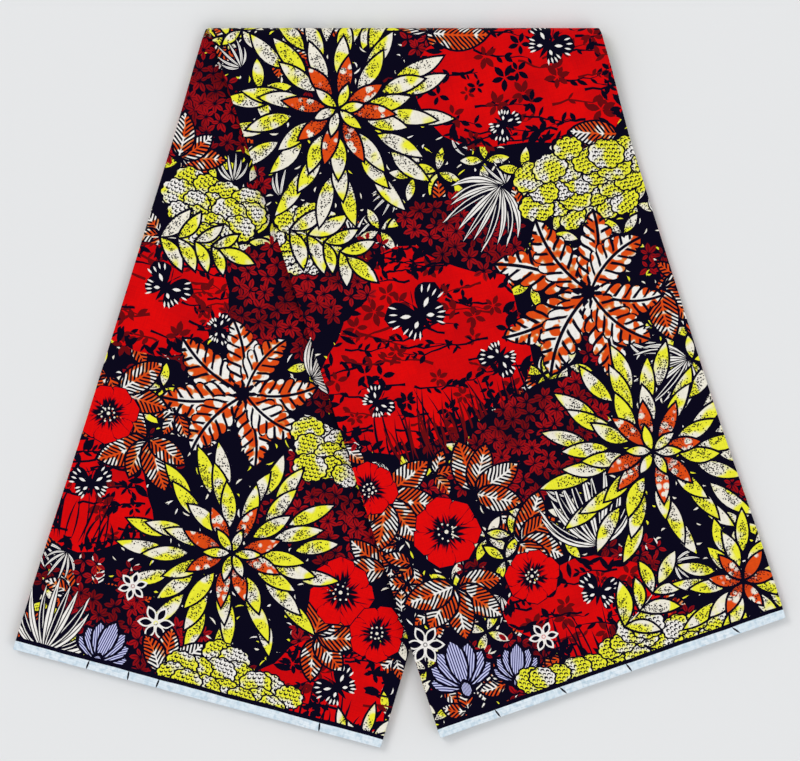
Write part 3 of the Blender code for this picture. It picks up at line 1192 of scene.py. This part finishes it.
def build_hidden_folds(name, inks):
    """The rest of the cloth: one sheet in fifteen plies, folded to and fro between the
    strip's two sides. Its selvedges step back a little from ply to ply."""
    left, right, along = strip_stations()
    width = lengths(right - left)
    across = units(right - left)
    section = folded_section(width, along)
    at, depth, ply_of = (np.array(values) for values in zip(*section))
    count, stations = len(section), len(along)

    steps = (0.9 + 0.8 * np.sin(1.9 * ply_of + 0.6)) * MM
    ends = np.zeros((count, stations))
    ends[:, 0], ends[:, -1] = steps, -steps[::-1]
    run = units(np.gradient((left + right) / 2, axis=0))
    plan = left[None] + across[None] * at[:, :, None] + run[None] * ends[:, :, None]
    places = fold_up(plan[..., 0], plan[..., 1], depth[:, None]).reshape(-1, 3)

    mesh = bpy.data.meshes.new(name)
    mesh.from_pydata(places.tolist(), [], section_faces(count, stations))
    mesh.materials.append(inks["folds"])
    mesh.validate()
    work = bmesh.new()
    work.from_mesh(mesh)
    bmesh.ops.recalc_face_normals(work, faces=work.faces)
    work.to_mesh(mesh)
    work.free()
    mesh.shade_smooth()
    corner = np.zeros(len(mesh.loops), np.int32)
    mesh.loops.foreach_get("vertex_index", corner)
    ply_of = np.repeat(ply_of, stations)
    cloth = to_cloth(plan).reshape(-1, 2) + ply_of[:, None] * np.array([WIDTH * MM, 0.0])
    add_map(mesh, "cloth", cloth[corner])
    near_end = np.tile(np.minimum(along, along[-1] - along), count)
    local = columns(near_end, np.zeros(len(ply_of)), ply_of)
    add_vectors(mesh, "local", local[corner])
    return linked(name, mesh)


# Inks


def srgb(text):
    """A colour from its hex code, in the shader's own linear values."""
    channels = [int(text[k : k + 2], 16) / 255 for k in (1, 3, 5)]
    linear = [c / 12.92 if c <= 0.04045 else ((c + 0.055) / 1.055) ** 2.4 for c in channels]
    return (*linear, 1.0)


def darker(colour, share):
    return (*(channel * share for channel in colour[:3]), 1.0)


NAVY = srgb("#020016")
RED = srgb("#DC0203")
SHADED_RED = srgb("#BE0006")
DARK_RED = srgb("#68040A")
DEEP_RED = srgb("#A60B12")
YELLOW = srgb("#EAE833")
PALE = srgb("#ECE7D8")
ORANGE = srgb("#DB4A10")
RUST = srgb("#B53012")
AMBER = srgb("#D9843C")
WHITE = srgb("#F0EDE8")
LAVENDER = srgb("#8C90D2")
LILAC = srgb("#D4D6F4")
SELVEDGE_WHITE = srgb("#E3ECF3")
SELVEDGE_GREY = srgb("#A3BFD2")
SELVEDGE_BLUE = srgb("#C9DDEA")

SURFACE = {"Sheen Weight": 0.012, "Sheen Roughness": 0.5, "Specular IOR Level": 0.04}
YARN = 0.0011  # the size of the unevenness across the yarns
YARN_STRETCH = 0.09  # how much slower it changes along them
THREAD_PITCH = 0.0005
WEAVE_DEPTH = 0.00012
WEAVE_STRENGTH = 0.35
SPECKLE_PITCH = 0.0014
SPECKLE_RADIUS = 0.48  # of the pitch

# a colour Mix node's own sockets
MIX_FACTOR, MIX_UNDER, MIX_OVER, MIX_RESULT = 0, 6, 7, 2


def add_node(tree, kind, inputs, **settings):
    """Adds a node with its inputs linked or set, and returns its outputs."""
    node = tree.nodes.new("ShaderNode" + kind)
    for key, value in settings.items():
        setattr(node, key, value)
    for key, value in inputs.items():
        if isinstance(value, Value):
            tree.links.new(value.socket, node.inputs[key])
        else:
            node.inputs[key].default_value = value
    return [Value(tree, socket) for socket in node.outputs]


class Value:
    """A node's output. Plain arithmetic on it adds Math nodes."""

    def __init__(self, tree, socket):
        self.tree, self.socket = tree, socket

    def math(self, operation, *others):
        inputs = dict(enumerate((self, *others)))
        return add_node(self.tree, "Math", inputs, operation=operation)[0]

    __add__ = partialmethod(math, "ADD")
    __sub__ = partialmethod(math, "SUBTRACT")
    __mul__ = partialmethod(math, "MULTIPLY")
    __truediv__ = partialmethod(math, "DIVIDE")
    __abs__ = partialmethod(math, "ABSOLUTE")
    fraction = partialmethod(math, "FRACT")
    under = partialmethod(math, "LESS_THAN")

    def step(self, low, high):
        """0 below low and 1 above high, or the other way round."""
        inputs = {"Value": self, "From Min": min(low, high), "From Max": max(low, high)}
        inputs.update({"To Min": float(low > high), "To Max": float(low < high)})
        return add_node(self.tree, "MapRange", inputs, interpolation_type="SMOOTHSTEP")[0]


def far_off(x, y):
    """How far (x, y) lies from (0, 0)."""
    return (x * x + y * y).math("SQRT")


class Ink:
    """A printed colour: its own node tree, what a pattern needs to hand, and the colour
    as it is painted so far."""

    def __init__(self, name, ground, roughness):
        self.colour = ground
        self.material = bpy.data.materials.new(name)
        self.material.use_nodes = True
        self.tree = self.material.node_tree
        self.shader = self.tree.nodes["Principled BSDF"]
        for key, value in {**SURFACE, "Roughness": roughness}.items():
            self.shader.inputs[key].default_value = value
        self.cloth = self.node("UVMap", uv_map="cloth")[0]
        self.u, self.v, self.seed = self.attribute("local")
        self.bow, self.length, self.half = self.attribute("form")
        self.bent_v = self.v - self.bow * 4.0 * self.u * (self.u * -1.0 + 1.0)

    def node(self, kind, inputs=None, **settings):
        return add_node(self.tree, kind, inputs or {}, **settings)

    def parts(self, vector):
        return self.node("SeparateXYZ", {"Vector": vector})

    def vector(self, x, y, z=0.0):
        return self.node("CombineXYZ", dict(X=x, Y=y, Z=z))[0]

    def attribute(self, name):
        _, vector, *_ = self.node("Attribute", attribute_name=name)
        return self.parts(vector)

    def noise(self, size, detail=1.0, where=None, w=None):
        """Soft patches, about the size across, in metres. Each w has its own."""
        inputs = {"Scale": 1 / size, "Detail": detail, "Vector": where or self.cloth}
        if w is not None:
            inputs["W"] = w * 40.0
        return self.node("TexNoise", inputs, noise_dimensions="4D" if w else "3D")[0]

    def cells(self, pitch, randomness, where=None):
        """Scattered places: how far off the nearest is, and two numbers of its own."""
        inputs = {"Scale": 1 / pitch, "Randomness": randomness, "Vector": where or self.cloth}
        distance, own, *_ = self.node("TexVoronoi", inputs)
        return distance, *self.parts(own)[:2]

    def paint(self, colour, share):
        """Lays a colour over what is painted so far."""
        inputs = {MIX_FACTOR: share, MIX_UNDER: self.colour, MIX_OVER: colour}
        self.colour = self.node("Mix", inputs, data_type="RGBA")[MIX_RESULT]

    def speckle(self, density):
        """Fine dark dots. The density is the share of their places that have one."""
        off, chance, size = self.cells(SPECKLE_PITCH, 0.9)
        dot = (off / (size * 0.35 + 0.75)).step(SPECKLE_RADIUS * 1.25, SPECKLE_RADIUS * 0.8)
        self.paint(NAVY, dot * chance.under(density))

    def finish(self, shade):
        """Adds the yarns' unevenness and the weave."""
        a, b, _ = self.parts(self.cloth)
        yarn = self.noise(YARN, 1.0, self.vector(a * YARN_STRETCH, b))
        yarn = yarn + self.noise(YARN, 1.0, self.vector(a, b * YARN_STRETCH))
        self.paint(darker(NAVY, 0.45), yarn.step(1.25, 0.75) * shade)
        waves = [(place * (2 * pi / THREAD_PITCH)).math("SINE") for place in (a, b)]
        height = waves[0] * waves[1] * 0.3 + yarn
        bump = {"Strength": WEAVE_STRENGTH, "Distance": WEAVE_DEPTH, "Height": height}
        for key, value in (("Base Color", self.colour), ("Normal", self.node("Bump", bump)[0])):
            self.tree.links.new(value.socket, self.shader.inputs[key])
        return self.material


def yellow_leaf_pattern(ink):
    """Pale patches, and a dense patch of fine dark dots over its base."""
    ink.paint(PALE, ink.noise(0.017, 0.8, w=ink.seed).step(0.46, 0.57))
    clump = ink.noise(0.016, 0.0, w=ink.seed * 3.0).step(0.30, 0.50)
    base = ink.u.step(0.85, 0.35) * 0.85 + ink.u.step(0.5, 0.0) * 0.3 + 0.03
    ink.speckle(clump * base * abs(ink.v).step(0.95, 0.45) * 2.3)


def orange_leaf_pattern(ink):
    """Rows of pale bubbles, and speckled near its base."""
    where = ink.vector(ink.u * ink.length, ink.bent_v * ink.half, ink.seed)
    off, chance, size = ink.cells(0.0066, 0.75, where)
    ragged = ink.noise(0.004, 1.0, w=ink.seed) * 0.3 - 0.15
    rounded = (off / (size * 0.6 + 0.6) + ragged).step(0.56, 0.34)
    ink.paint(PALE, rounded * chance.under(0.62) * ink.u.step(0.12, 0.32))
    ink.paint(RUST, ink.u.step(0.55, 0.0) * 0.6)
    clump = ink.noise(0.016, 0.0, w=ink.seed * 2.0).step(0.30, 0.55)
    base = ink.u.step(0.95, 0.2) * 0.75 + ink.u.step(0.4, 0.0) * 0.25
    ink.speckle(clump * base * 1.9)


def white_patches(ink, size, low, middle, high):
    """White patches with amber edges."""
    patch = ink.noise(size, 0.5, w=ink.seed)
    ink.paint(AMBER, patch.step(low, middle))
    ink.paint(WHITE, patch.step(middle, high))


def orange_vein_pattern(ink):
    """White patches, between a dark middle line and a dark vein that runs out to each
    notch."""
    off = abs(ink.bent_v)
    white_patches(ink, 0.0085, 0.465, 0.50, 0.53)
    wobble = ink.noise(0.008, 0.0) * 0.24 - 0.12
    place = ink.u - LOBE_START + (off * -1.0 + 0.8) * 0.15
    veins = (place * LOBES + wobble + 8.0).fraction()
    dark = abs(veins - 0.5).step(0.18, 0.13) * off.step(0.12, 0.20)
    ink.paint(NAVY, dark.math("MAXIMUM", off.step(0.10, 0.075)))


def orange_rib_pattern(ink):
    """White patches, and bars with dark gaps."""
    off = abs(ink.bent_v)
    white_patches(ink, 0.010, 0.49, 0.52, 0.56)
    wobble = ink.noise(0.009, 0.0) * 0.5
    place = ink.u * ink.length - off * ink.half * 0.9
    bars = (place / 0.0040 + wobble + 20.0).fraction()
    ink.paint(NAVY, abs(bars - 0.5).step(0.31, 0.25) * off.step(0.03, 0.10))


def blossom_pattern(ink):
    """Dark streaks that spread from a dark heart."""
    streak = ink.noise(1.0, 1.0, ink.vector(ink.u * 1.5, ink.v * 7.0, ink.seed * 30.0))
    ink.paint(NAVY, (streak + ink.u.step(0.75, 0.15) * 0.45).step(0.66, 0.82))
    ink.paint(NAVY, ink.u.step(0.34, 0.16))


def thicket_pattern(ink):
    """Lighter patches, and a dark middle line."""
    ink.paint(DEEP_RED, ink.noise(0.03, 0.0).step(0.35, 0.65) * 0.8 + ink.seed * 0.3)
    ink.paint(NAVY, abs(ink.v).step(0.30, 0.12) * ink.u.step(0.95, 0.6) * 0.7)


def scale_pattern(ink):
    """White patches, and rows of dark crescents."""
    ink.paint(WHITE, ink.noise(0.016, 1.0, w=ink.seed).step(0.47, 0.60))
    pitch = 0.0041
    x = ink.u * ink.length / pitch + ink.seed * 7.0 + 40.0
    y = ink.v * ink.half / (pitch * 0.78) + ink.seed * 3.0 + 40.0
    staggered = x + y.math("FLOOR").math("MODULO", 2.0) * 0.5
    wobble = ink.noise(0.005, 0.0) * 0.5 - 0.25
    x = staggered.fraction() - 0.5 + wobble
    y = (y.fraction() - 0.5) * 0.85 + wobble
    crescent = far_off(x, y).step(0.43, 0.37) * far_off(x - 0.05, y - 0.20).step(0.22, 0.29)
    ink.paint(NAVY, crescent * far_off(ink.u, ink.v).step(0.92, 0.84))


def blade_pattern(ink):
    """A dark middle line."""
    ink.paint(NAVY, abs(ink.bent_v).step(0.20, 0.12) * ink.u.step(0.9, 0.8))


def lavender_pattern(ink):
    """Lighter ribs with dark gaps."""
    off = abs((ink.bent_v * 3.6 + 20.0).fraction() - 0.5)
    ink.paint(LILAC, off.step(0.25, 0.4))
    ink.paint(NAVY, off.step(0.19, 0.13) * ink.u.step(0.02, 0.2))


def red_pattern(ink):
    ink.paint(SHADED_RED, ink.noise(0.05, 2.0).step(0.3, 0.7) * 0.8)


def selvedge_pattern(ink):
    """Faint stripes, mottled, and washed with blue."""
    a, b, _ = ink.parts(ink.cloth)
    stripe = ink.noise(0.0009, 0.0, ink.vector(a * 0.05, b)).step(0.4, 0.65) * 0.2
    ink.paint(SELVEDGE_GREY, stripe + ink.noise(0.0042, 1.5).step(0.42, 0.68) * 0.5)
    ink.paint(SELVEDGE_BLUE, ink.noise(0.03, 1.0).step(0.40, 0.65) * 0.35)


def folds_pattern(ink):
    """The print seen end-on along the side folds: short runs of its colours. Here u is
    the distance from the selvedge."""
    a, b, _ = ink.parts(ink.cloth)
    runs = ((RED, 0.50), (DARK_RED, 0.56), (YELLOW, 0.58), (ORANGE, 0.62), (WHITE, 0.63))
    for number, (colour, level) in enumerate(runs):
        run = ink.noise(0.016, 1.5, ink.vector(a, b, 0.1 + 0.37 * number))
        ink.paint(colour, run.step(level, level + 0.02))
    ink.paint(NAVY, ink.u.step(SELVEDGE + 4 * MM, SELVEDGE + 3 * MM))
    ink.paint(SELVEDGE_WHITE, ink.u.step(SELVEDGE + 0.3 * MM, SELVEDGE))


def plain_pattern(ink):
    """Slightly darker patches."""
    ink.paint(darker(ink.colour, 0.8), ink.noise(0.02, 1.0).step(0.3, 0.7) * 0.15)


# each ink's name, ground colour and pattern
INKS = (
    ("navy", NAVY, plain_pattern),
    ("red", RED, red_pattern),
    ("yellow_leaf", YELLOW, yellow_leaf_pattern),
    ("orange_leaf", ORANGE, orange_leaf_pattern),
    ("orange_vein", ORANGE, orange_vein_pattern),
    ("orange_rib", ORANGE, orange_rib_pattern),
    ("blossom", RED, blossom_pattern),
    ("thicket", DARK_RED, thicket_pattern),
    ("scale", YELLOW, scale_pattern),
    ("blade", WHITE, blade_pattern),
    ("lavender", LAVENDER, lavender_pattern),
    ("white", WHITE, plain_pattern),
    ("pale", PALE, plain_pattern),
    ("yellow_dash", YELLOW, plain_pattern),
    ("selvedge", SELVEDGE_WHITE, selvedge_pattern),
    ("dark_red", DARK_RED, plain_pattern),
    ("folds", NAVY, folds_pattern),
)
ROUGHNESS, OTHER_ROUGHNESS = 0.64, dict(selvedge=0.7, folds=0.75)
SHADE, OTHER_SHADE = 0.12, dict(navy=0.0, selvedge=0.08)


def make_inks():
    inks = {}
    for name, ground, pattern in INKS:
        ink = Ink(name, ground, OTHER_ROUGHNESS.get(name, ROUGHNESS))
        pattern(ink)
        inks[name] = ink.finish(OTHER_SHADE.get(name, SHADE))
    return inks


# The prints

# covers are ellipses that large motifs hide: middle and half sizes. A field has its
# middle, half sizes, turn and corners, and the fourth lies under the front half. Reeds
# have their base, width, height, number, number on an underside, and ink.
FRONT_PRINT = dict(
    ground=((-6, -4), (322, 96), (322, 640), (-6, 640)),
    covers=(
        (84, 104, 84, 84), (250, 130, 84, 66), (262, 226, 52, 26), (92, 322, 92, 76),
        (246, 316, 50, 50), (160, 418, 52, 34), (252, 462, 78, 78), (160, 574, 60, 36),
        (292, 588, 46, 46),
    ),
    slope=0.24,
    fields=(
        ((252, 124), 92, 70, 0.2, 30), ((92, 320), 98, 76, -0.1, 30),
        ((164, 574), 68, 44, 0.1, 26),
    ),
    upwards=-pi / 2,
    reeds=(
        ((96, 412), 150, 62, 30, 8, "navy"), ((104, 410), 130, 44, 26, 6, "dark_red"),
        ((164, 626), 110, 52, 26, 6, "navy"),
    ),
    motifs=(
        (thicket, ((158, 236), 58, 32, 0.35), ((160, 420), 66, 40, -0.2)),
        (thicket, ((24, 250), 40, 30, 0.2)),
        (butterfly, ((270, 106), 38, -0.7), ((214, 158), 28, 0.9), ((98, 292), 50, -1.9)),
        (butterfly, ((40, 352), 28, -0.4), ((152, 346), 32, 2.4), ((172, 562), 34, -1.1)),
        (ribbed_fan, ((178, 66), -0.9, 5, 44, 2.6), ((306, 196), 2.6, 4, 36, 1.8)),
        (plume, ((196, 208), 2.5, 11, 60), ((304, 396), 2.8, 9, 54)),
        (scale_cloud, ((266, 226), 60, 30, 13), ((22, 204), 34, 22, 12)),
        (ribbed_fan, ((300, 330), 0.9, 4, 40, 1.6)),
        (lobed_star, ((240, 316), (
            (-2.55, 78, 17), (-1.9, 70, 16), (-1.2, 64, 16), (-0.5, 60, 15), (0.35, 58, 14),
            (2.95, 76, 16), (2.3, 72, 17), (1.6, 72, 16), (0.95, 62, 15),
        ), 6)),
        (ribbed_fan, ((22, 430), 1.2, 5, 44, 3.0), ((96, 450), -0.6, 4, 42, 2.0)),
        (ribbed_fan, ((58, 520), 1.6, 5, 42, 3.0), ((120, 500), 0.2, 4, 40, 2.2)),
        (blossom, ((64, 474), 30, 0.3), ((122, 532), 24, 0.8), ((12, 420), 24, 0.5)),
        (plume, ((184, 524), -1.5, 13, 72)),
        (lotus, ((40, 604), -1.6, 40), ((84, 612), -1.3, 30)),
        (star, ((18, 560), 17, 0.3), ((116, 584), 13, 0.1)),
        (scale_cloud, ((214, 618), 62, 20, 12), ((118, 622), 34, 14, 11)),
        (spray, ((8, 186), 0.5, 62, 4, 36, 0.5)),
        (rosette, ((84, 104), 94, GREAT_ROSETTE, 0.1), ((252, 462), 90, GREAT_ROSETTE, 0.4)),
        (spray, ((176, 600), -0.4, 56, 3, 34, -0.4)),
        (rosette, ((292, 590), 56, SMALL_ROSETTE, 0.2)),
    ),
)

# The front half hides the places whose a is above about 0.72 times the distance from
# the fold
BACK_PRINT = dict(
    ground=((-6, -4), (-6, -562), (330, -548), (322, 100)),
    covers=(
        (44, -232, 70, 48), (128, -292, 60, 60), (156, -424, 86, 86), (30, -416, 50, 40),
        (262, -508, 56, 36), (262, -436, 50, 40), (230, -110, 90, 80), (250, -260, 60, 60),
        (44, -150, 46, 30),
    ),
    slope=0.2,
    fields=(
        ((44, -232), 72, 46, 0.2, 26), ((28, -414), 56, 44, -0.1, 26),
        ((264, -512), 62, 38, 0.1, 26), ((246, -110), 90, 76, 0.1, 22),
    ),
    upwards=pi / 2,
    reeds=(((28, -456), 90, 48, 22, 6, "navy"), ((262, -548), 100, 40, 20, 6, "navy")),
    motifs=(
        (thicket, ((22, -76), 40, 50, 0.1), ((126, -206), 52, 40, -0.3)),
        (thicket, ((222, -368), 56, 42, 0.3), ((96, -512), 60, 34, -0.1)),
        (butterfly, ((34, -226), 40, 1.2), ((88, -246), 26, 0.4)),
        (butterfly, ((24, -404), 34, 1.9), ((276, -506), 36, 2.5)),
        (ribbed_fan, ((12, -118), 0.6, 4, 38, 2.2)),
        (scale_cloud, ((48, -150), 44, 28, 13)),
        (spray, ((10, -188), 0.3, 60, 4, 34, -0.4)),
        (plume, ((176, -262), 0.9, 9, 58)),
        (lobed_star, ((124, -292), (
            (2.7, 64, 15), (2.0, 58, 14), (1.2, 54, 13), (0.4, 58, 14),
            (-2.8, 64, 15), (-2.0, 60, 15), (-1.1, 58, 14), (-0.3, 56, 14),
        ), 5)),
        (ribbed_fan, ((22, -322), -0.4, 4, 42, 2.4), ((58, -352), -1.4, 4, 40, 2.2)),
        (blossom, ((20, -342), 26, 0.4)),
        (scale_cloud, ((214, -318), 40, 24, 12)),
        (ribbed_fan, ((286, -396), 2.4, 4, 40, 2.6), ((244, -470), 0.2, 5, 42, 3.0)),
        (blossom, ((254, -428), 29, 0.1), ((294, -452), 24, 0.5)),
        (rosette, ((156, -424), 88, GREAT_ROSETTE, 0.3)),
        (plume, ((28, -552), 1.5, 11, 66)),
        (lotus, ((74, -544), 1.4, 34)),
        (star, ((112, -500), 16, 0.2), ((84, -476), 13, 0.5)),
        (ribbed_fan, ((128, -540), 1.2, 4, 38, 2.2)),
        (scale_cloud, ((186, -530), 52, 22, 12)),
        (rosette, ((312, -560), 44, SMALL_ROSETTE, 0.2)),
    ),
)


def draw_print(sheet, ground, covers, slope, fields, upwards, reeds, motifs, full):
    """Draws one half's print. full is False on an underside, which has fewer small
    things."""
    ground = np.array(ground, float)
    filler(sheet, ground, 15 if full else 26)
    undergrowth(sheet, ground, 27 if full else 36, covers)
    outlines = []
    for middle, across, along, turn, corners in fields:
        outlines.append(blob(middle, across, along, sheet.dice, turn, corners))
    for outline in outlines[:3]:
        red_field(sheet, outline, slope, thin=not full)
        fringe(sheet, outline, "navy", 13, 6.0 if full else 12.0)
    for outline in outlines[3:]:
        red_field(sheet, outline, 0.3, thin=True)
    for base, width, height, many, few, ink in reeds:
        reed_bed(sheet, base, width, height, upwards, many if full else few, ink)
    for motif, *places in motifs:
        for place in places:
            motif(sheet, *place)


def printed_sheet(seed, top, underside, front_ticks=(), back_ticks=()):
    """One half's print on top, the other's in mirror image on the underside, and a hem
    at both ends."""
    sheet = Print(seed)
    sheet.mirrored = True
    draw_print(sheet, **underside, full=False)
    sheet.mirrored = False
    draw_print(sheet, **top, full=True)
    hem_bands(sheet, True, front_ticks)
    hem_bands(sheet, False, back_ticks)
    return sheet


# tick marks on the selvedges: how far across, and their tilt
FRONT_TICKS = ((0.17, 1.2), (0.36, 1.0), (0.55, 1.2), (0.86, 0.9))
BACK_TICKS = ((0.2, 1.5), (0.31, 1.7), (0.39, 1.5), (0.83, 1.75))

# soft troughs: from (a, b) to (a, b), half width and depth
OUTER_CREASES = ((20, 180, 250, 240, 9, 0.25), (60, 420, 300, 380, 10, 0.2))
INNER_CREASES = ((20, -200, 200, -240, 9, 0.22),)


# Stage, lights and camera

FLOOR_SIZE = 60
FLOOR_DROP = 0.0004  # clear of the cloth's underside
FLOOR_COLOUR = (0.74, 0.75, 0.76, 1)
FLOOR_ROUGHNESS = 0.9
SKY_STRENGTH = 0.74
# each sun's name, where it shines from, its strength and how wide it looks
SUNS = (
    ("key", (-1.3, 1.2, 2.0), 0.90, radians(26)),
    ("fill", (1.4, -1.2, 1.8), 0.48, radians(34)),
)
PIXEL = 0.85 * MM  # of the photograph, on the cloth
FRAME_WIDTH = 800 * PIXEL
FRAME_MIDDLE = (0.65 * PIXEL, 7.35 * PIXEL)
CAMERA_HEIGHT = 6.0  # above the cloth's top
CLOTH_TOP = 8 * MM
SENSOR = 36.0


def stage_and_light():
    """A plain floor, a white sky and two soft suns."""
    bpy.ops.mesh.primitive_plane_add(size=FLOOR_SIZE, location=(0, 0, -FLOOR_DROP))
    floor = bpy.context.object
    floor.name = "floor"
    made = bpy.data.materials.new("floor")
    made.use_nodes = True
    shader = made.node_tree.nodes["Principled BSDF"]
    shader.inputs["Base Color"].default_value = FLOOR_COLOUR
    shader.inputs["Roughness"].default_value = FLOOR_ROUGHNESS
    floor.data.materials.append(made)

    world = bpy.data.worlds.new("studio")
    world.use_nodes = True
    sky = world.node_tree.nodes["Background"]
    sky.inputs["Color"].default_value = (1, 1, 1, 1)
    sky.inputs["Strength"].default_value = SKY_STRENGTH
    bpy.context.scene.world = world
    for name, place, strength, softness in SUNS:
        light = bpy.data.lights.new(name, "SUN")
        light.energy, light.angle = strength, softness
        lamp = bpy.data.objects.new(name, light)
        lamp.location = place
        lamp.rotation_euler = (-Vector(place)).to_track_quat("-Z", "Y").to_euler()
        bpy.context.scene.collection.objects.link(lamp)


def camera():
    """Straight down, with the photograph's frame."""
    lens = bpy.data.cameras.new("camera")
    lens.sensor_width = SENSOR
    lens.lens = SENSOR * CAMERA_HEIGHT / FRAME_WIDTH
    holder = bpy.data.objects.new("camera", lens)
    holder.location = (*FRAME_MIDDLE, CAMERA_HEIGHT + CLOTH_TOP)
    bpy.context.scene.collection.objects.link(holder)
    bpy.context.scene.camera = holder
    bpy.context.scene.view_settings.view_transform = "Standard"


inks = make_inks()
outer_sheet = printed_sheet(OUTER_SEED, FRONT_PRINT, BACK_PRINT, front_ticks=FRONT_TICKS)
outer = build_ply("outer_print", outer_sheet, 0.0, 1, "left", OUTER_CREASES, inks)
inner_sheet = printed_sheet(INNER_SEED, BACK_PRINT, FRONT_PRINT, back_ticks=BACK_TICKS)
inner = build_ply("inner_print", inner_sheet, LEG_THICKNESS, -1, "right", INNER_CREASES, inks)
folds = build_hidden_folds("hidden_folds", inks)
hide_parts("outer_ply")
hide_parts("inner_ply")
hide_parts("hidden_plies")
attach(folds, "root")
for piece in (outer, inner):
    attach(piece, "root")
stage_and_light()
camera()
